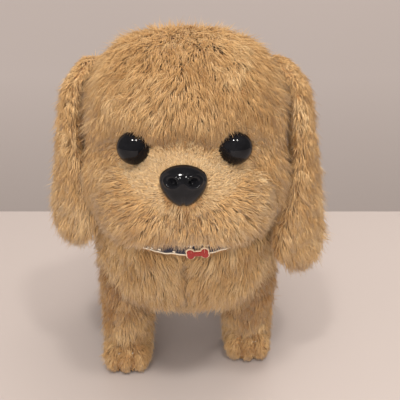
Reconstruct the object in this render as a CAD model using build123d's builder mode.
"""Walking plush puppy: torso shells, battery drive, legs, head, tail and fur.

Millimetres.  The dog faces -Y, +Z is up and the origin is on the floor under the
middle of the bounding box.  "Left" is the side at -X.  All y values are measured
from the middle plane between the front and rear hip axles; the plane helpers
below add HIP_MID_Y to reach world Y.
"""
from build123d import *
import math
import os

os.makedirs("parts", exist_ok=True)

LEFT, RIGHT = -1, 1
SIDES = (LEFT, RIGHT)
SIDE_NAMES = (("left", LEFT), ("right", RIGHT))
CUT = Mode.SUBTRACT

# ---------------------------------------------------------------- main sizes
HIP_MID_Y = 10.0        # world Y of the plane midway between the hip axles
HIP_Y = 30.0            # hip axles, ahead of and behind that plane
HIP_Z = 48.5
ARM_LENGTH = 12.0       # hip axle to drive bar pin
BAR_Z = HIP_Z + ARM_LENGTH      # height of crankshaft and drive bars
CRANK_THROW = 2.5
STRIDE_DEG = 6.0        # left legs stand this far forward, right legs this far back
LEG_X = 30.0            # centre of each leg
FOOT_DY = 5.0           # sole centre ahead of (left) or behind (right) the hip axle
# sideways swing of an arm end: the left bar stands back, the right bar forward
BAR_DY = ARM_LENGTH * math.sin(math.radians(STRIDE_DEG))

SHELL_X = 24.0          # torso shell half width
SHELL_FRONT, SHELL_REAR = -38.0, 40.0
SHELL_BOTTOM, SHELL_TOP = 36.0, 78.0
WALL = 2.0

NECK_Y, NECK_Z = -43.0, 78.0    # nod pin, across the dog
NECK = (NECK_Y, NECK_Z)
TAIL_Y, TAIL_Z = 47.0, 68.0     # tail pin, upright

SHAFT_RADIUS = 1.5      # crankshaft, neck pin, tail pin and hip stud ends
RUN = 0.05              # running clearance, radial
PIN_FIT = 0.02          # radial fit of the pins and bushes held in the shell
PRESS_FIT = 0.01        # radial fit of parts pressed onto a shaft

# ---------------------------------------------------------------- gear train
MODULE = 0.5
MESH_GAP = 0.05
MESH_DEG = 20.0         # direction from crankshaft to second idler, above +Y
PINION_TEETH = 8
FIRST_TEETH = 40        # large wheel of the first idler
SECOND_TEETH = 36       # large wheel of the second idler
SMALL_TEETH = 10        # small wheel of both idlers
CRANK_TEETH = 36
# tooth outline: height above the pitch circle in modules, angle in quarter pitches
TOOTH = ((-1.15, -1.05), (0.0, -0.72), (0.85, -0.32), (0.85, 0.32), (0.0, 0.72), (-1.15, 1.05))


def centre_distance(teeth_a, teeth_b):
    return MODULE * (teeth_a + teeth_b) / 2 + MESH_GAP


# shaft centres as (y, z)
CRANK_Y = -7.5
CRANK = (CRANK_Y, BAR_Z)
CRANK_REACH = centre_distance(CRANK_TEETH, SMALL_TEETH)
IDLER_2 = (CRANK_Y + CRANK_REACH * math.cos(math.radians(MESH_DEG)),
           BAR_Z + CRANK_REACH * math.sin(math.radians(MESH_DEG)))
IDLER_1 = (IDLER_2[0] + centre_distance(SECOND_TEETH, SMALL_TEETH), IDLER_2[1])
MOTOR = (IDLER_1[0] + centre_distance(FIRST_TEETH, PINION_TEETH), IDLER_1[1])


# ---------------------------------------------------------------- planes
def facing_x(x, y=0.0, z=0.0):
    """Plane facing +X; its own x is world Y and its own y is world Z."""
    return Plane(origin=(x, y + HIP_MID_Y, z), x_dir=(0, 1, 0), z_dir=(1, 0, 0))


def facing_y(y, x=0.0, z=0.0):
    """Plane facing +Y; its own x is world X and its own y is world -Z."""
    return Plane(origin=(x, y + HIP_MID_Y, z), x_dir=(1, 0, 0), z_dir=(0, 1, 0))


def facing_z(z, x=0.0, y=0.0):
    return Plane(origin=(x, y + HIP_MID_Y, z))


# ---------------------------------------------------------------- shapes
# Each helper draws its own sketch, then adds to or cuts from the open part.
def disc(plane, radius, length, mode=Mode.ADD):
    with BuildSketch(plane) as face:
        Circle(radius)
    extrude(face.sketch, amount=length, mode=mode)


def hole(plane, radius, length):
    disc(plane, radius, length, CUT)


def ring(plane, outer, inner, length):
    with BuildSketch(plane) as face:
        Circle(outer)
        Circle(inner, mode=CUT)
    extrude(face.sketch, amount=length)


def hole_circle(plane, pitch_radius, count, radius, length, start_angle=0):
    with BuildSketch(plane) as face:
        with PolarLocations(pitch_radius, count, start_angle=start_angle):
            Circle(radius)
    extrude(face.sketch, amount=length, mode=CUT)


def block(plane, width, height, length, mode=Mode.ADD):
    with BuildSketch(plane) as face:
        Rectangle(width, height)
    extrude(face.sketch, amount=length, mode=mode)


def rounded_block(plane, width, height, corner, length, mode=Mode.ADD):
    with BuildSketch(plane) as face:
        RectangleRounded(width, height, corner)
    extrude(face.sketch, amount=length, mode=mode)


def frame(plane, outer, inner, length):
    with BuildSketch(plane) as face:
        Rectangle(*outer)
        Rectangle(*inner, mode=CUT)
    extrude(face.sketch, amount=length)


def prism(plane, points, length):
    with BuildSketch(plane) as face:
        with BuildLine():
            Polyline(*points, close=True)
        make_face()
    extrude(face.sketch, amount=length)


def cross_recess(plane, span, width, depth):
    with BuildSketch(plane) as face:
        Rectangle(span, width)
        Rectangle(width, span)
    extrude(face.sketch, amount=depth, mode=CUT)


def gear(plane, teeth, phase_deg, length, bore=None):
    """Spur gear with straight-flanked slim teeth; one tooth centre at phase_deg."""
    quarter_pitch = math.pi / (2 * teeth)
    points = []
    for i in range(teeth):
        centre = math.radians(phase_deg) + 2 * math.pi * i / teeth
        for height, turn in TOOTH:
            radius = MODULE * (teeth / 2 + height)
            angle = centre + quarter_pitch * turn
            points.append((radius * math.cos(angle), radius * math.sin(angle)))
    with BuildSketch(plane) as face:
        with BuildLine():
            Polyline(*points, close=True)
        make_face()
        if bore:
            Circle(bore, mode=CUT)
    extrude(face.sketch, amount=length)


def section(y, z, half_width, half_height, grow=0.0, x=0.0):
    """Upright elliptical section across the dog."""
    with BuildSketch(facing_y(y, x, z)) as face:
        Ellipse(half_width + grow, half_height + grow)
    return face.sketch


def sections(stations, grow=0.0, y_shifts=None, dz=0.0):
    """Sections for a loft; y_shifts holds one shift for each station."""
    shifts = y_shifts or (0.0,) * len(stations)
    return [section(y + shift, z + dz, half_width, half_height, grow)
            for (y, z, half_width, half_height), shift in zip(stations, shifts)]


def finish(builder, name):
    builder.part.label = name
    export_step(builder.part, f"parts/{name}.step")


# ---------------------------------------------------------------- torso shells
# (y, z) of the gearbox posts and of the screws that join the shells
POSTS = ((-16.4, 53.3), (-15.5, 72.3), (28.5, 72.3), (28.5, 53.5))
SHELL_SCREWS = ((-33.8, 71.0), (-33.8, 43.5), (35.9, 48.7))

SHELL_MID_Z = (SHELL_BOTTOM + SHELL_TOP) / 2
LUG_ROOT = 0.5          # how far the lugs run into the end walls
NECK_LUG_X, NECK_LUG_THICK = 8.5, 3.0
TAIL_LUG_THICK = 2.5

BATTERY_Y = -1.0        # middle of battery box, door and door opening
DOOR_OPENING = (26.0, 49.0)
DOOR_GAP = 0.3
SWITCH_Y = 31.0
SPEAKER = (-19.0, 64.0)     # (y, z)
BUSH_RADIUS = 3.0


def add_shell_box(torso):
    width = 2 * SHELL_X
    height = SHELL_TOP - SHELL_BOTTOM
    length = SHELL_REAR - SHELL_FRONT
    rounded_block(facing_y(SHELL_FRONT, z=SHELL_MID_Z), width, height, 6, length)

    def on_end(edge):
        y = edge.center().Y - HIP_MID_Y
        return abs(y - SHELL_FRONT) < 0.01 or abs(y - SHELL_REAR) < 0.01

    fillet(torso.edges().filter_by(on_end), 3)
    rounded_block(facing_y(SHELL_FRONT + WALL, z=SHELL_MID_Z),
                  width - 2 * WALL, height - 2 * WALL, 4, length - 2 * WALL, CUT)


def add_neck_lugs():
    """Lugs on the front wall, either side of the yoke hub."""
    root_y = SHELL_FRONT + LUG_ROOT
    outline = ((root_y, NECK_Z - 12), (root_y, NECK_Z - 3), (NECK_Y, NECK_Z + 4),
               (NECK_Y - 4, NECK_Z), (NECK_Y - 3, NECK_Z - 4))
    for side in SIDES:
        prism(facing_x(side * NECK_LUG_X - NECK_LUG_THICK / 2), outline, NECK_LUG_THICK)
    hole(facing_x(-11, *NECK), SHAFT_RADIUS + PIN_FIT, 22)


def add_tail_lugs():
    """Lugs on the rear wall, below and above the tail hub."""
    root_y = SHELL_REAR - LUG_ROOT
    outline = ((-5, root_y), (5, root_y), (4, TAIL_Y + 2), (0, TAIL_Y + 4), (-4, TAIL_Y + 2))
    for z in (TAIL_Z - 6.0, TAIL_Z + 3.5):
        prism(facing_z(z), outline, TAIL_LUG_THICK)
    hole(facing_z(TAIL_Z - 8, y=TAIL_Y), SHAFT_RADIUS + PIN_FIT, 16)


def add_side_wall_details():
    """Hip stud bosses, crankshaft bush holes and gearbox bosses."""
    for side in SIDES:
        for y in (-HIP_Y, HIP_Y):
            disc(facing_x(side * 21.0 - 1.5, y, HIP_Z), radius=4.2, length=3)
            hole(facing_x(side * 22.0 - 4, y, HIP_Z), SHAFT_RADIUS + RUN, length=8)
        hole(facing_x(side * 23.0 - 2, *CRANK), BUSH_RADIUS + PIN_FIT, length=4)
    # the gearbox hangs on the right wall
    for post in POSTS:
        disc(facing_x(19.3, *post), radius=2.6, length=3.0)
        hole(facing_x(19.0, *post), radius=0.95, length=2.6)


def add_screw_bosses():
    """Bosses across the parting plane, bored and counterbored from the left."""
    for screw in SHELL_SCREWS:
        disc(facing_x(-SHELL_X + 1, *screw), radius=3.0, length=2 * SHELL_X - 2)
        hole(facing_x(-SHELL_X - 1, *screw), radius=1.3, length=2 * SHELL_X - 4)
        hole(facing_x(-SHELL_X - 1, *screw), radius=2.4, length=4.0)


def cut_shell_openings():
    # battery door opening and switch slot in the floor
    with BuildSketch(facing_z(SHELL_BOTTOM - 1)) as openings:
        with Locations((0, BATTERY_Y)):
            Rectangle(*DOOR_OPENING)
        with Locations((0, SWITCH_Y)):
            Rectangle(8.0, 4.0)
    extrude(openings.sketch, amount=WALL + 2, mode=CUT)
    # speaker slots in the left wall
    y, z = SPEAKER
    for dz in (-6.0, -3.0, 0.0, 3.0, 6.0):
        block(facing_x(-SHELL_X - 1, y, z + dz), 9, 1.2, 4, CUT)


def build_torso_shells():
    with BuildPart() as torso:
        add_shell_box(torso)
        add_neck_lugs()
        add_tail_lugs()
        add_side_wall_details()
        add_screw_bosses()
        cut_shell_openings()
    for side_name, keep in (("left", Keep.BOTTOM), ("right", Keep.TOP)):
        with BuildPart() as shell:
            add(torso.part)
            split(bisect_by=Plane.YZ, keep=keep)
        finish(shell, f"torso_shell_{side_name}")


def build_shell_screws():
    with BuildPart() as screws:
        for screw in SHELL_SCREWS:
            disc(facing_x(-SHELL_X + 3.2, *screw), radius=1.25, length=34)
            disc(facing_x(-SHELL_X + 1.2, *screw), radius=2.3, length=1.75)
            disc(facing_x(-SHELL_X + 2.9, *screw), radius=1.25, length=0.5)
            cross_recess(facing_x(-SHELL_X + 1.0, *screw), span=3.2, width=0.6, depth=0.9)
    finish(screws, "shell_screws")


def build_pin(name, plane, length):
    with BuildPart() as pin:
        disc(plane, SHAFT_RADIUS, length)
        chamfer(pin.edges(), 0.3)
    finish(pin, name)


# ---------------------------------------------------------------- power
FLOOR_Z = SHELL_BOTTOM + WALL + 0.1     # underside of the parts on the shell floor
BOX_OUTER = (29.0, 52.0)
BOX_INNER = (26.4, 49.6)
CELL_X, CELL_Z = 6.0, 43.6
CELL_FRONT, CELL_LENGTH = -23.2, 43.0
CELL_TIP = 1.0
DOOR_SCREW_Y = 17.5
SLIDER_X, SLIDER_Z = -1.8, 34.2


def build_battery_box():
    with BuildPart() as box:
        frame(facing_z(FLOOR_Z, y=BATTERY_Y), BOX_OUTER, BOX_INNER, 11.8)
        block(facing_z(49.0, y=BATTERY_Y), *BOX_OUTER, 0.9)
        # keel between the two cells
        block(facing_z(45.6, y=BATTERY_Y), 0.8, BOX_INNER[1], 3.6)
    finish(box, "battery_box")


def build_batteries():
    """Two cells side by side, the left one's tip to the rear, the right one's to the front."""
    tip_y = {LEFT: CELL_FRONT + CELL_LENGTH, RIGHT: CELL_FRONT - CELL_TIP}
    with BuildPart() as cells:
        for side in SIDES:
            disc(facing_y(CELL_FRONT, side * CELL_X, CELL_Z), radius=5.2, length=CELL_LENGTH)
            disc(facing_y(tip_y[side], side * CELL_X, CELL_Z), radius=1.9, length=CELL_TIP)
    finish(cells, "batteries")


def build_battery_contacts():
    with BuildPart() as contacts:
        for y, bridged in ((-25.6, True), (22.7, False)):
            with BuildSketch(facing_y(y, z=CELL_Z)):
                with Locations((-CELL_X, 0), (CELL_X, 0)):
                    Rectangle(8, 8)
                if bridged:
                    Rectangle(10, 2)
            extrude(amount=0.5)
    finish(contacts, "battery_contacts")


def build_battery_door():
    width, length = (size - 2 * DOOR_GAP for size in DOOR_OPENING)
    with BuildPart() as door:
        rounded_block(facing_z(SHELL_BOTTOM, y=BATTERY_Y), width, length, 1.2, 1.8)
        fillet(door.faces().sort_by(Axis.Z)[0].edges(), 0.5)
        # finger grooves
        for y in (-18, -14, -10, -6, -2):
            block(facing_z(SHELL_BOTTOM - 0.01, y=y), 12, 1.0, 0.5, CUT)
        # countersunk screw hole
        hole(facing_z(SHELL_BOTTOM - 0.1, y=DOOR_SCREW_Y), radius=1.2, length=3)
        hole(facing_z(SHELL_BOTTOM - 0.1, y=DOOR_SCREW_Y), radius=2.1, length=0.9)
    finish(door, "battery_door")


def build_door_screw():
    with BuildPart() as screw:
        disc(facing_z(SHELL_BOTTOM + 0.05, y=DOOR_SCREW_Y), radius=2.0, length=0.7)
        disc(facing_z(SHELL_BOTTOM + 0.7, y=DOOR_SCREW_Y), radius=1.1, length=1.8)
        cross_recess(facing_z(SHELL_BOTTOM, y=DOOR_SCREW_Y), span=2.6, width=0.5, depth=0.4)
    finish(screw, "door_screw")


def build_switch_housing():
    with BuildPart() as housing:
        frame(facing_z(FLOOR_Z, y=SWITCH_Y), (13, 7), (8.2, 4.2), 2.9)
        block(facing_z(40.9, y=SWITCH_Y), 13, 7, 2.6)
        # three terminals on top
        for x in (-3, 0, 3):
            block(facing_z(43.4, x, SWITCH_Y), 0.8, 0.4, 2.0)
    finish(housing, "switch_housing")


def build_switch_slider():
    with BuildPart() as slider:
        block(facing_z(SLIDER_Z, SLIDER_X, SWITCH_Y), 2.6, 3.2, 6.3)
        # two grooves across the underside
        with BuildSketch(facing_z(SLIDER_Z - 0.01, SLIDER_X, SWITCH_Y)):
            with Locations((-0.7, 0), (0.7, 0)):
                Rectangle(0.4, 3.4)
        extrude(amount=0.4, mode=CUT)
    finish(slider, "switch_slider")


# ---------------------------------------------------------------- electronics
BOARD_Y, BOARD_Z = -29.0, 65.5
BOARD_THICK = 1.6
COMPONENT_Y = BOARD_Y + BOARD_THICK + 0.02
# speaker steps, from the left wall inwards: x, radius, length
SPEAKER_STEPS = ((-21.6, 7.4, 1.4), (-20.2, 6.4, 1.8), (-18.4, 3.8, 2.2))
# wire centre lines, points as (x, y, z)
WIRES = (
    ((-15.9, -17.5, 64.0), (-12.0, -19.5, 66.0), (-11.0, -27.2, 70.0)),
    ((-15.9, -20.5, 63.0), (-12.5, -22.5, 61.0), (-11.0, -27.2, 60.0)),
    ((-21.4, MOTOR[0] - 13.5, 52.0), (-12.0, 0.0, 52.0), (-6.0, -20.0, 53.0),
     (-4.0, -26.9, 58.5)),
)
WIRE_RADIUS = 0.5


def build_circuit_board():
    with BuildPart() as board:
        with BuildSketch(facing_y(BOARD_Y, z=BOARD_Z)):
            Rectangle(34, 17)
            with Locations((-14.5, -6), (14.5, 6)):
                Circle(1.2, mode=CUT)
        extrude(amount=BOARD_THICK)
        # rectangular components on the rear face
        with BuildSketch(facing_y(COMPONENT_Y, z=BOARD_Z)):
            with Locations((-5, 0)):
                Rectangle(9, 6)
            with Locations((9, -3), (9, 3)):
                Rectangle(3.2, 1.6)
            with Locations((2.5, 5.2), (2.5, -5.2)):
                Rectangle(2.0, 1.2)
        extrude(amount=1.4)
        # round component
        disc(facing_y(COMPONENT_Y, 14.0, 67.5), radius=2.4, length=6.0)
    finish(board, "circuit_board")


def build_speaker():
    with BuildPart() as speaker:
        for x, radius, length in SPEAKER_STEPS:
            disc(facing_x(x, *SPEAKER), radius, length)
        chamfer(speaker.faces().sort_by(Axis.X)[-1].edges(), 0.4)
    finish(speaker, "speaker")


def build_wires():
    with BuildPart() as wires:
        for points in WIRES:
            with BuildLine() as run:
                Spline(*[(x, y + HIP_MID_Y, z) for x, y, z in points])
            with BuildSketch(Plane(origin=run.line @ 0, z_dir=run.line % 0)):
                Circle(WIRE_RADIUS)
            sweep(path=run.line)
    finish(wires, "wires")


# ---------------------------------------------------------------- gearbox
PLATE_INNER_X, PLATE_OUTER_X = 4.0, 18.0
PLATE_THICK = 1.2
AXLE_RADIUS = 0.9       # idler axles and the stepped ends of the posts
MOTOR_X, MOTOR_LENGTH = -21.2, 25.0
MOTOR_SHAFT_RADIUS = 1.0


def build_gearbox_plate(name, x, has_motor_hole):
    with BuildPart() as plate:
        rounded_block(facing_x(x, 6.0, 63.8), 50.0, 23.8, 2.5, PLATE_THICK)
        bores = [(CRANK, SHAFT_RADIUS + RUN)]
        bores += [(idler, AXLE_RADIUS + 0.01) for idler in (IDLER_1, IDLER_2)]
        bores += [(post, AXLE_RADIUS + 0.03) for post in POSTS]
        if has_motor_hole:
            bores.append((MOTOR, 2.4))
        for centre, radius in bores:
            hole(facing_x(x - 0.5, *centre), radius, length=2.4)
    finish(plate, name)


def build_gearbox_posts():
    between_x = PLATE_INNER_X + PLATE_THICK
    with BuildPart() as posts:
        for post in POSTS:
            disc(facing_x(between_x, *post), radius=1.5, length=PLATE_OUTER_X - between_x)
            disc(facing_x(3.9, *post), AXLE_RADIUS, length=1.8)
            disc(facing_x(17.5, *post), AXLE_RADIUS, length=3.6)
    finish(posts, "gearbox_posts")


def build_idler_axles():
    with BuildPart() as axles:
        for idler in (IDLER_1, IDLER_2):
            disc(facing_x(3.4, *idler), AXLE_RADIUS, length=16.4)
    finish(axles, "idler_axles")


def build_motor_can():
    with BuildPart() as can:
        with BuildSketch(facing_x(MOTOR_X, *MOTOR)):
            Circle(10.0)
            Rectangle(24, 15.2, mode=Mode.INTERSECT)
        extrude(amount=MOTOR_LENGTH)
        # round boss on the left end
        disc(facing_x(MOTOR_X, *MOTOR), radius=2.6, length=-0.5)
        hole(facing_x(-3.5, *MOTOR), radius=1.06, length=8)
        # terminals on the left end
        y, z = MOTOR
        for dz in (-5.2, 5.2):
            terminal_plane = facing_x(MOTOR_X - 0.55, y, z + dz)
            block(terminal_plane, 2.2, 0.5, 0.5)
            block(terminal_plane, 2.2, 2.0, 0.3)
    finish(can, "motor_can")


def build_motor_shaft():
    with BuildPart() as shaft:
        disc(facing_x(-3.4, *MOTOR), MOTOR_SHAFT_RADIUS, length=13.4)
    finish(shaft, "motor_shaft")


def build_motor_pinion():
    with BuildPart() as pinion:
        gear(facing_x(5.6, *MOTOR), PINION_TEETH, 180.0 + 180.0 / PINION_TEETH, 3.0,
             bore=MOTOR_SHAFT_RADIUS + PRESS_FIT)
    finish(pinion, "motor_pinion")


def build_idler_gear_first():
    with BuildPart() as idler:
        gear(facing_x(5.8, *IDLER_1), FIRST_TEETH, 0.0, 2.5)
        gear(facing_x(8.3, *IDLER_1), SMALL_TEETH, 180.0 + 180.0 / SMALL_TEETH, 4.2)
        hole(facing_x(5.0, *IDLER_1), AXLE_RADIUS + RUN, length=12)
        # lightening pockets
        hole_circle(facing_x(5.7, *IDLER_1), pitch_radius=6.0, count=4, radius=2.0,
                    length=1.2, start_angle=45)
    finish(idler, "idler_gear_first")


def build_idler_gear_second():
    with BuildPart() as idler:
        gear(facing_x(9.2, *IDLER_2), SECOND_TEETH, 0.0, 2.5)
        gear(facing_x(11.7, *IDLER_2), SMALL_TEETH, 180.0 + MESH_DEG + 180.0 / SMALL_TEETH, 4.3)
        hole(facing_x(8.0, *IDLER_2), AXLE_RADIUS + RUN, length=12)
    finish(idler, "idler_gear_second")


def build_crank_gear():
    with BuildPart() as wheel:
        gear(facing_x(13.0, *CRANK), CRANK_TEETH, MESH_DEG, 2.5)
        disc(facing_x(12.0, *CRANK), radius=1.9, length=5.0)
        hole(facing_x(11.0, *CRANK), SHAFT_RADIUS + PRESS_FIT, length=8)
        hole_circle(facing_x(12.9, *CRANK), pitch_radius=5.2, count=5, radius=1.5, length=3)
    finish(wheel, "crank_gear")


# ---------------------------------------------------------------- crank and drive bars
# Parts outside the shell start at side * x and grow outwards by side * length.
DRIVE_PIN_RADIUS = 1.0      # crank pins and leg pins
PIN_RISE = math.sqrt(CRANK_THROW ** 2 - BAR_DY ** 2)
BAR_THICK = 2.0
WINDOW_GAP = 0.4            # round the crank pin at the ends of its travel
WINDOW_HALF_Y = 2 * CRANK_THROW + DRIVE_PIN_RADIUS + WINDOW_GAP
WINDOW_HALF_Z = CRANK_THROW + DRIVE_PIN_RADIUS + WINDOW_GAP


def build_crankshaft():
    with BuildPart() as shaft:
        disc(facing_x(-25.8, *CRANK), SHAFT_RADIUS, length=51.6)
    finish(shaft, "crankshaft")


def build_crank_bushes():
    with BuildPart() as bushes:
        for side in SIDES:
            ring(facing_x(side * 22.5 - 1.5, *CRANK), BUSH_RADIUS, SHAFT_RADIUS + RUN, 3.0)
    finish(bushes, "crank_bushes")


def build_crank_disc(side_name, side):
    """Disc whose pin drives the window of its bar; the two pins are half a turn apart."""
    y, z = CRANK
    pin_centre = (y - side * BAR_DY, z - side * PIN_RISE)
    with BuildPart() as crank:
        disc(facing_x(side * 24.4, *CRANK), radius=4.6, length=side * 2.0)
        hole(facing_x(side * 24.0, *CRANK), SHAFT_RADIUS + PRESS_FIT, length=side * 2.0)
        disc(facing_x(side * 26.3, *pin_centre), DRIVE_PIN_RADIUS, length=side * 3.1)
    finish(crank, f"crank_disc_{side_name}")


def build_drive_bar(side_name, side):
    with BuildPart() as bar:
        with BuildSketch(facing_x(side * 27.0, -side * BAR_DY, BAR_Z)):
            RectangleRounded(68, 7.5, 3)
            with Locations((CRANK_Y, 0)):
                RectangleRounded(2 * WINDOW_HALF_Y + 5, 2 * WINDOW_HALF_Z + 4, 2)
                Rectangle(2 * WINDOW_HALF_Y, 2 * WINDOW_HALF_Z, mode=CUT)
            # upright slots for the leg pins
            with Locations((-HIP_Y, -0.2), (HIP_Y, -0.2)):
                Rectangle(2.3, 3.4, mode=CUT)
        extrude(amount=side * BAR_THICK)
    finish(bar, f"drive_bar_{side_name}")


# ---------------------------------------------------------------- legs
# hip stud steps: radius, distance from the middle plane at the start and end
STUD_STEPS = ((1.5, 20.0, 24.1), (2.0, 24.05, 33.0), (3.3, 32.9, 34.2))
LEGS = (    # name, side, hip y
    ("front_left", LEFT, -HIP_Y),
    ("rear_left", LEFT, HIP_Y),
    ("front_right", RIGHT, -HIP_Y),
    ("rear_right", RIGHT, HIP_Y),
)
FOOT_WIDTH, FOOT_LENGTH, FOOT_CORNER = 17, 23, 6
FOOT_GAP = 0.3          # foot block to fur sleeve
TOE_DY = -1.0           # foot block and sole sit this far ahead of the column
# fur sleeve: z, half width, half length, share of the foot offset, extra y
SLEEVE_STATIONS = (
    (1.6, 11.0, 13.5, 1.0, TOE_DY),
    (7.0, 13.3, 15.6, 1.0, TOE_DY),
    (17.0, 12.6, 13.6, 0.80, 0.0),
    (30.0, 12.2, 12.6, 0.45, 0.0),
)


def build_hip_studs():
    with BuildPart() as studs:
        for side in SIDES:
            for y in (-HIP_Y, HIP_Y):
                for radius, start, end in STUD_STEPS:
                    disc(facing_x(side * start, y, HIP_Z), radius, side * (end - start))
    finish(studs, "hip_studs")


def build_leg_core(name, side, hip_y):
    """Plastic core: flat arm above the hip, column below it and a foot block."""
    foot_dy = side * FOOT_DY
    arm_y = hip_y - side * BAR_DY
    arm_z = HIP_Z + ARM_LENGTH * math.cos(math.radians(STRIDE_DEG))
    low_y = hip_y + foot_dy * 0.45
    arm = (
        (hip_y - 4.5, HIP_Z), (arm_y - 2.6, arm_z + 1.5), (arm_y, arm_z + 2.8),
        (arm_y + 2.6, arm_z + 1.5), (hip_y + 4.5, HIP_Z), (low_y + 5.0, 26.0),
        (low_y - 5.0, 26.0),
    )
    with BuildPart() as core:
        prism(facing_x(side * 29.5), arm, side * 3.0)
        with BuildSketch(facing_z(27.5, side * LEG_X, hip_y + foot_dy * 0.42)):
            Rectangle(8, 10)
        with BuildSketch(facing_z(9.0, side * LEG_X, hip_y + foot_dy)):
            Rectangle(10, 13)
        loft()
        rounded_block(facing_z(2.4, side * LEG_X, hip_y + foot_dy + TOE_DY),
                      FOOT_WIDTH, FOOT_LENGTH, FOOT_CORNER, 8.0)
        disc(facing_x(side * 26.7, arm_y, arm_z), DRIVE_PIN_RADIUS, length=side * 2.9)
        hole(facing_x(side * 24.0, hip_y, HIP_Z), 2.0 + RUN, length=side * 12.0)
    finish(core, f"leg_core_{name}")


def build_leg_plush(name, side, hip_y):
    """Fur sleeve: closed round the core, open at the top for the arm."""
    foot_dy = side * FOOT_DY
    with BuildPart() as sleeve:
        for z, half_width, half_length, share, dy in SLEEVE_STATIONS:
            with BuildSketch(facing_z(z, side * LEG_X, hip_y + foot_dy * share + dy)):
                Ellipse(half_width, half_length)
        loft()
        rounded_block(facing_z(2.2, side * LEG_X, hip_y + foot_dy + TOE_DY),
                      FOOT_WIDTH + 2 * FOOT_GAP, FOOT_LENGTH + 2 * FOOT_GAP,
                      FOOT_CORNER + FOOT_GAP, 8.6, CUT)
        with BuildSketch(facing_z(8.5, side * LEG_X, hip_y + foot_dy)):
            Rectangle(11.2, 14.2)
        with BuildSketch(facing_z(31.0, side * LEG_X, hip_y + foot_dy * 0.38)):
            Rectangle(9.4, 12.0)
        loft(mode=CUT)
    finish(sleeve, f"leg_plush_{name}")


def build_foot_sole(name, side, hip_y):
    with BuildPart() as sole:
        with BuildSketch(facing_z(0.0, side * LEG_X, hip_y + side * FOOT_DY + TOE_DY)):
            Ellipse(10.2, 12.6)
        extrude(amount=1.5)
        fillet(sole.faces().sort_by(Axis.Z)[0].edges(), 0.5)
    finish(sole, f"foot_sole_{name}")


# ---------------------------------------------------------------- head
# lofted forms, stations as: y, centre z, half width, half height
HEAD_STATIONS = (
    (1.0, 128.0, 15.0, 15.0),
    (-6.0, 126.0, 31.0, 29.0),
    (-22.0, 123.5, 41.5, 39.5),
    (-42.0, 122.5, 44.0, 42.0),
    (-60.0, 119.0, 42.0, 36.5),
    (-72.0, 116.0, 33.0, 25.0),
)
MUZZLE_STATIONS = (
    (-58.0, 105.0, 35.0, 24.0),
    (-74.0, 104.0, 36.0, 23.5),
    (-87.0, 106.0, 28.0, 18.5),
    (-94.0, 109.0, 15.0, 11.0),
)
SKULL_REAR_STATIONS = (
    (-34.0, 122.0, 34.0, 32.0),
    (-20.0, 122.5, 31.0, 29.0),
    (-8.0, 125.0, 18.0, 17.0),
)
SKULL_FRONT_STATIONS = (
    (-34.0, 122.0, 34.0, 32.0),
    (-54.0, 118.5, 31.0, 28.0),
    (-70.0, 109.0, 23.0, 17.0),
    (-80.0, 109.0, 14.0, 12.0),
)
NOSE_Z = 116.0
NOSE_STATIONS = (       # centre z is measured from NOSE_Z
    (-92.2, 0.0, 8.8, 6.8),
    (-95.5, 0.0, 9.4, 7.6),
    (-99.0, 0.4, 7.8, 6.2),
    (-101.0, 0.8, 4.4, 3.4),
)
SKULL_WALL = 2.0
FUR_GAP = 0.6           # skull to fur
EYE_X, EYE_Y, EYE_Z = 19.5, -74.5, 123.5
STEM_RADIUS = 2.0       # stems of the eyes and nose
STEM_HOLE = 2.06
STEM_SEAT = 5.0         # seats round the stems
STEM_SEAT_CUT = 5.3     # room in the fur for the seats
NOSE_STEM_Z = NOSE_Z - 1.5
NECK_SCREW_X, NECK_SCREW_Y = 10.0, -42.0


def build_skull_front():
    with BuildPart() as skull:
        loft(sections(SKULL_FRONT_STATIONS))
        # eye and nose seats
        for side in SIDES:
            disc(facing_y(-66.0, side * EYE_X, EYE_Z), STEM_SEAT, length=16.0)
        disc(facing_y(-86.0, z=NOSE_STEM_Z), STEM_SEAT, length=12.0)
        loft(sections(SKULL_FRONT_STATIONS[:3], grow=-SKULL_WALL, y_shifts=(0.0, 0.6, 1.2))
             + [section(-77.5, 109.0, 12.0, 10.0)], mode=CUT)
        for side in SIDES:
            ring(facing_y(-64.0, side * EYE_X, EYE_Z), STEM_SEAT, STEM_HOLE, 8.0)
            hole(facing_y(-70.0, side * EYE_X, EYE_Z), STEM_HOLE, length=22.0)
        hole(facing_y(-90.0, z=NOSE_STEM_Z), STEM_HOLE, length=20.0)
        # cross rib that takes the neck screws
        block(facing_y(-46.0, z=104.0), 50.0, 5.0, 8.0)
        # neck opening in the floor of the head
        block(facing_z(84.0, y=-43.0), 30.0, 19.0, 17.4, CUT)
        for side in SIDES:
            hole(facing_z(100.0, side * NECK_SCREW_X, NECK_SCREW_Y), radius=1.1, length=8)
        split(bisect_by=facing_y(-34.05), keep=Keep.BOTTOM)
    finish(skull, "skull_front")


def build_skull_rear():
    with BuildPart() as skull:
        loft(sections(SKULL_REAR_STATIONS))
        loft(sections(SKULL_REAR_STATIONS, grow=-SKULL_WALL, y_shifts=(0.0, -1.2, -2.4)),
             mode=CUT)
        # rear part of the neck opening
        block(facing_z(84.0, y=-36.0), 30.0, 7.0, 17.4, CUT)
    finish(skull, "skull_rear")


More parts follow.
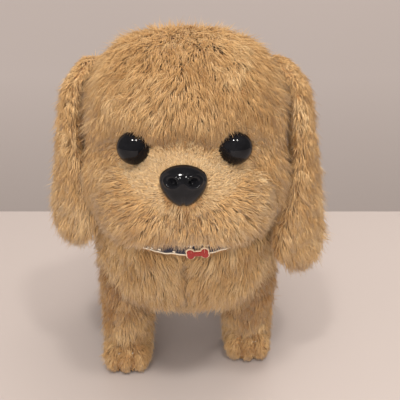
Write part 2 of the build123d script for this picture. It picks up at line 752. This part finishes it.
def build_neck_yoke():
    with BuildPart() as yoke:
        disc(facing_x(-6.6, *NECK), radius=4.0, length=13.2)
        block(facing_z(NECK_Z, y=NECK_Y), 12.0, 7.0, 20.5)
        rounded_block(facing_z(98.2, y=NECK_SCREW_Y), 28.0, 12.0, 2, 3.0)
        # stop tongue below the hub, in front of the rubber buffer
        block(facing_z(66.0, y=NECK_Y - 1.0), 7.0, 3.0, 10.0)
        hole(facing_x(-8, *NECK), SHAFT_RADIUS + RUN, length=16)
        for side in SIDES:
            hole(facing_z(97.0, side * NECK_SCREW_X, NECK_SCREW_Y), radius=1.1, length=6)
    finish(yoke, "neck_yoke")


def build_neck_buffer():
    with BuildPart() as rubber:
        block(facing_z(65.5, y=-39.35), 8.0, 2.6, 6.5)
        fillet(rubber.edges().filter_by(Axis.Z), 0.5)
    finish(rubber, "neck_buffer")


def build_neck_screws():
    with BuildPart() as screws:
        for side in SIDES:
            with BuildSketch(facing_z(96.4, side * NECK_SCREW_X, NECK_SCREW_Y)):
                Circle(2.0)
                Rectangle(2.4, 0.5, mode=CUT)
            extrude(amount=1.7)
            disc(facing_z(97.4, side * NECK_SCREW_X, NECK_SCREW_Y), radius=1.0, length=9.0)
    finish(screws, "neck_screws")


def build_eyes():
    with BuildPart() as eyes:
        for side in SIDES:
            with Locations((side * EYE_X, EYE_Y + 1.6 + HIP_MID_Y, EYE_Z)):
                Sphere(7.0)
        # keep the caps in front of the eye plane
        split(bisect_by=facing_y(EYE_Y), keep=Keep.BOTTOM)
        for side in SIDES:
            disc(facing_y(EYE_Y - 0.3, side * EYE_X, EYE_Z), STEM_RADIUS, length=19.0)
    finish(eyes, "eyes")


def build_nose():
    with BuildPart() as nose:
        loft(sections(NOSE_STATIONS, dz=NOSE_Z))
        disc(facing_y(-92.4, z=NOSE_STEM_Z), STEM_RADIUS, length=17.0)
        # nostrils
        for side in SIDES:
            nostril = section(-102.0, NOSE_Z + 2.2, 1.5, 1.1, x=side * 4.1)
            extrude(nostril, amount=4.2, mode=CUT)
    finish(nose, "nose")


def build_face_washers():
    washer = {"outer": 3.6, "inner": 2.04, "length": 1.2}
    with BuildPart() as washers:
        for side in SIDES:
            ring(facing_y(-55.9, side * EYE_X, EYE_Z), **washer)
        ring(facing_y(-77.2, z=NOSE_STEM_Z), **washer)
    finish(washers, "face_washers")


# ---------------------------------------------------------------- ears
EAR_DROPS = {LEFT: 0.0, RIGHT: 11.0}    # how much lower the flap hangs
EAR_ROLL_X, EAR_ROLL_Z = 41.6, 146.5    # hemmed roll at the top of each ear
EAR_TOP_SHARE = 0.25
# flap seen from the front: distance from the middle plane, z, share of the drop
EAR_EDGES = (
    # outer edge, downwards
    ((38.4, 148.0, 0.25), (50.0, 141.0, 0.4), (57.0, 120.0, 1), (58.5, 92.0, 1), (58.0, 74.0, 1)),
    # bottom
    ((58.0, 74.0, 1), (54.0, 69.5, 1), (48.4, 72.0, 1)),
    # inner edge, upwards
    ((48.4, 72.0, 1), (47.2, 92.0, 1), (47.2, 118.0, 1), (45.8, 134.0, 0.4), (38.4, 148.0, 0.25)),
)
# flap seen from the side: y, z, share of the drop
EAR_PROFILE = (
    (-39.0, 152.0, 0), (-46.5, 128.0, 0), (-49.0, 94.0, 1), (-43.0, 74.0, 1), (-33.0, 68.0, 1),
    (-22.0, 74.0, 1), (-15.0, 94.0, 1), (-16.0, 128.0, 0), (-21.0, 152.0, 0),
)


def ear_roll_plane(y, side):
    z = EAR_ROLL_Z - EAR_DROPS[side] * EAR_TOP_SHARE
    return facing_y(y, side * EAR_ROLL_X, z)


def build_ear(side_name, side):
    """Hemmed roll at the top and a long flap that widens downwards."""
    drop = EAR_DROPS[side]
    profile = [(y, z - drop * share) for y, z, share in EAR_PROFILE]
    with BuildPart() as ear:
        with BuildSketch(facing_y(-50.0)):
            with BuildLine():
                for edge in EAR_EDGES:
                    Spline(*[(side * x, -(z - drop * share)) for x, z, share in edge])
            make_face()
        extrude(amount=40.0)
        with BuildSketch(facing_x(side * 30.0)):
            with BuildLine():
                Spline(*profile)
                Line(profile[-1], profile[0])
            make_face()
        extrude(amount=side * 35.0, mode=Mode.INTERSECT)
        disc(ear_roll_plane(-39.0, side), radius=3.4, length=18.0)
    finish(ear, f"ear_{side_name}")


def build_head_plush():
    with BuildPart() as fur:
        loft(sections(HEAD_STATIONS))
        loft(sections(MUZZLE_STATIONS))
        # room for the skull
        loft(sections(SKULL_REAR_STATIONS, FUR_GAP, y_shifts=(0.0, 0.0, 0.5)), mode=CUT)
        loft(sections(SKULL_FRONT_STATIONS, FUR_GAP, y_shifts=(0.0, 0.0, 0.0, -0.8)), mode=CUT)
        # eye and nose openings
        for side in SIDES:
            hole(facing_y(-92.0, side * EYE_X, EYE_Z), radius=7.6, length=18.0)
            hole(facing_y(-74.6, side * EYE_X, EYE_Z), STEM_SEAT_CUT, length=26.6)
        extrude(section(-100.0, NOSE_Z, 11.2, 9.4), amount=8.0, mode=CUT)
        hole(facing_y(-93.0, z=NOSE_STEM_Z), STEM_SEAT_CUT, length=20.0)
        # neck opening
        rounded_block(facing_z(70.0, y=-40.0), 56.0, 36.0, 8, 26.0, CUT)
        # seam grooves that hold the hemmed ear tops
        for side in SIDES:
            hole(ear_roll_plane(-43.0, side), radius=4.3, length=27.0)
    finish(fur, "head_plush")


# ---------------------------------------------------------------- tail
TAIL_RISE = math.radians(38)
TAIL_BASE_Y, TAIL_BASE_Z = TAIL_Y + 4.0, TAIL_Z + 0.5
# tail fur: distance along the tail, radius
TAIL_STATIONS = ((10.0, 7.0), (17.0, 8.6), (26.0, 8.4), (35.0, 4.0))


def tail_plane(distance):
    """Plane square to the tail, this far along it from its base."""
    rise_y, rise_z = math.cos(TAIL_RISE), math.sin(TAIL_RISE)
    origin = (0, TAIL_BASE_Y + rise_y * distance + HIP_MID_Y, TAIL_BASE_Z + rise_z * distance)
    return Plane(origin=origin, x_dir=(1, 0, 0), z_dir=(0, rise_y, rise_z))


def build_tail_core():
    with BuildPart() as core:
        disc(facing_z(TAIL_Z - 3.3, y=TAIL_Y), radius=3.4, length=6.6)
        disc(tail_plane(-1.5), radius=2.0, length=29.0)
        hole(facing_z(TAIL_Z - 5, y=TAIL_Y), SHAFT_RADIUS + RUN, length=8.5)
    finish(core, "tail_core")


def build_tail_plush():
    with BuildPart() as fur:
        for distance, radius in TAIL_STATIONS:
            with BuildSketch(tail_plane(distance)):
                Circle(radius)
        loft()
        hole(tail_plane(9.0), radius=2.1, length=18.9)
    finish(fur, "tail_plush")


# ---------------------------------------------------------------- body cover and collar
COLLAR_TILT = math.radians(20.0)
TILT_SIN, TILT_COS = math.sin(COLLAR_TILT), math.cos(COLLAR_TILT)
COLLAR_PLANE = Plane(origin=(0, -34.0 + HIP_MID_Y, 81.5), x_dir=(1, 0, 0),
                     z_dir=(0, -TILT_SIN, TILT_COS))
BONE_POSITION = (5.0, -27.5, -0.8)      # in the collar plane, a little off centre
# stations as: y, centre z, half width, half height
BODY_STATIONS = (
    (-57.0, 54.0, 21.0, 14.0),
    (-50.0, 56.0, 35.0, 25.5),
    (-36.0, 58.5, 42.0, 30.5),
    (0.0, 61.0, 44.0, 34.0),
    (34.0, 61.0, 42.0, 33.0),
    (50.0, 62.0, 31.0, 24.0),
    (58.0, 64.0, 14.0, 12.0),
)
CAVITY_STATIONS = (
    (-51.5, 56.0, 30.0, 22.0),
    (-42.0, 57.0, 36.5, 27.5),
    (0.0, 60.0, 39.0, 30.0),
    (38.0, 60.0, 37.0, 28.5),
    (46.0, 62.0, 24.0, 19.0),
)
LEG_OPENING_X, LEG_OPENING_WIDTH = 31.5, 33.0


def build_body_plush():
    with BuildPart() as fur:
        loft(sections(BODY_STATIONS))
        loft(sections(CAVITY_STATIONS), mode=CUT)
        # room for the head and its nod
        loft(sections(HEAD_STATIONS, grow=5.6, y_shifts=(5.0, 0.0, 0.0, 0.0, 0.0, 0.0), dz=-2.0),
             mode=CUT)
        with BuildSketch(COLLAR_PLANE.offset(-3.8)):
            Ellipse(36.4, 28.4)
        extrude(amount=24.0, mode=CUT)
        # leg openings
        for side in SIDES:
            x = side * LEG_OPENING_X
            block(facing_z(10.0, x), LEG_OPENING_WIDTH, 130.0, 26.0, CUT)
            for y in (-HIP_Y, HIP_Y):
                block(facing_z(30.0, x, y), LEG_OPENING_WIDTH, 36.0, 23.0, CUT)
        # belly opening for the battery door and the switch
        block(facing_z(20.0, y=3.0), 26.6, 62.0, 20.0, CUT)
        # tail opening
        extrude(section(44.0, TAIL_Z + 4.5, 13.4, 13.0), amount=16.0, mode=CUT)
    finish(fur, "body_plush")


def build_collar_band():
    """Ribbon round the front half of the neck; the rear half is cut away."""
    with BuildPart() as band:
        with BuildSketch(COLLAR_PLANE.offset(-3.0)):
            Ellipse(35.5, 27.3)
            Ellipse(34.5, 26.3, mode=CUT)
            with Locations((0, 18.0)):
                Rectangle(90, 40, mode=CUT)
        extrude(amount=6.0)
    finish(band, "collar_band")


def build_collar_bone():
    bone_plane = Plane(origin=COLLAR_PLANE.from_local_coords(BONE_POSITION),
                       x_dir=(1, 0, 0), z_dir=(0, -TILT_COS, -TILT_SIN))
    with BuildPart() as bone:
        with BuildSketch(bone_plane):
            Rectangle(6.0, 2.4)
            with Locations((-3.2, 1.1), (-3.2, -1.1), (3.2, 1.1), (3.2, -1.1)):
                Circle(1.6)
        extrude(amount=1.2)
    finish(bone, "collar_bone")


# ---------------------------------------------------------------- build everything
build_torso_shells()
build_shell_screws()
build_pin("neck_pin", facing_x(-11.5, *NECK), 23)
build_pin("tail_pin", facing_z(TAIL_Z - 7.0, y=TAIL_Y), 14)

build_battery_box()
build_batteries()
build_battery_contacts()
build_battery_door()
build_door_screw()
build_switch_housing()
build_switch_slider()
build_circuit_board()
build_speaker()
build_wires()

build_gearbox_plate("gearbox_plate_inner", PLATE_INNER_X, has_motor_hole=True)
build_gearbox_plate("gearbox_plate_outer", PLATE_OUTER_X, has_motor_hole=False)
build_gearbox_posts()
build_idler_axles()
build_motor_can()
build_motor_shaft()
build_motor_pinion()
build_idler_gear_first()
build_idler_gear_second()
build_crank_gear()
build_crankshaft()
build_crank_bushes()
build_hip_studs()
for leg in LEGS:
    build_leg_core(*leg)
    build_leg_plush(*leg)
    build_foot_sole(*leg)

build_skull_front()
build_skull_rear()
build_neck_yoke()
build_neck_buffer()
build_neck_screws()
build_head_plush()
build_eyes()
build_nose()
build_face_washers()
for named_side in SIDE_NAMES:
    build_crank_disc(*named_side)
    build_drive_bar(*named_side)
    build_ear(*named_side)

build_tail_core()
build_tail_plush()
build_body_plush()
build_collar_band()
build_collar_bone()
